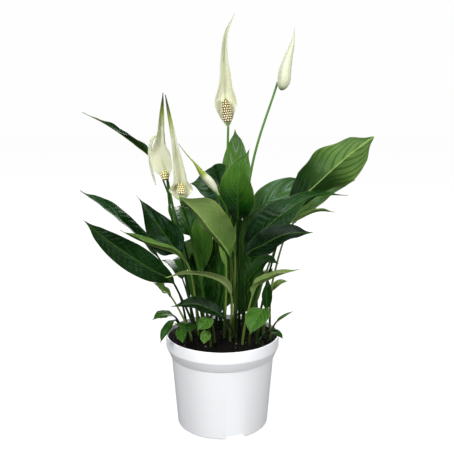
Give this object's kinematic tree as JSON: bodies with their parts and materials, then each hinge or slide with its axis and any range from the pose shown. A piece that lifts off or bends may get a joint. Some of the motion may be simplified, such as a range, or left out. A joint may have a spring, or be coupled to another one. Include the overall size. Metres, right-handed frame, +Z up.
{
  "type": "potted peace lily",
  "caption": "Leafy peace lily with upright white spathes on slender stems, rooted in soil in a plain tapered nursery pot with a bevelled collar.",
  "frame": {"origin": "middle of the pot's foot, on the surface that the pot stands on", "axes": "+Z up through the pot's axis, -Y towards the front of the plant, +X towards its right-hand side"},
  "size_m": [0.3007, 0.19, 0.4255],
  "materials": {
    "pot_plastic": "satin",
    "soil": "matte",
    "leaf": "gloss",
    "stem": "satin",
    "spathe": "satin",
    "spadix": "matte"
  },
  "bodies": {
    "root": {"leaf_left_1": "leaf", "leaf_left_2": "leaf", "leaf_left_3": "leaf", "leaf_left_4": "leaf", "leaf_left_5": "leaf", "leaf_left_6": "leaf", "leaf_left_7": "leaf", "leaf_left_8": "leaf", "leaf_left_9": "leaf", "leaf_front_1": "leaf", "leaf_front_2": "leaf", "leaf_front_3": "leaf", "leaf_front_4": "leaf", "leaf_front_5": "leaf", "leaf_front_6": "leaf", "leaf_front_7": "leaf", "leaf_front_8": "leaf", "leaf_front_9": "leaf", "leaf_middle_1": "leaf", "leaf_middle_2": "leaf", "leaf_middle_3": "leaf", "leaf_middle_4": "leaf", "leaf_middle_5": "leaf", "leaf_right_1": "leaf", "leaf_right_2": "leaf", "leaf_right_3": "leaf", "leaf_right_4": "leaf", "leaf_right_5": "leaf", "leaf_right_6": "leaf", "leaf_right_7": "leaf", "leaf_right_8": "leaf", "leaf_right_9": "leaf", "leaf_right_10": "leaf", "leaf_right_11": "leaf", "leaf_right_12": "leaf", "leaf_back_1": "leaf", "leaf_back_2": "leaf", "leaf_back_3": "leaf", "leaf_back_4": "leaf", "leaf_back_5": "leaf", "shoot_1": "leaf", "shoot_2": "leaf", "shoot_3": "leaf", "bloom_1_stem": "stem", "bloom_1_spathe": "spathe", "bloom_1_spadix": "spadix", "bloom_2_stem": "stem", "bloom_2_spathe": "spathe", "bloom_3_stem": "stem", "bloom_3_spathe": "spathe", "bloom_3_spadix": "spadix", "bloom_4_stem": "stem", "bloom_4_spathe": "spathe", "bloom_4_spadix": "spadix", "bloom_5_stem": "stem", "bloom_5_spathe": "spathe", "bloom_6_stem": "stem", "bloom_6_spathe": "spathe", "soil": "soil", "pot": "pot_plastic"}
  },
  "joints": []
}
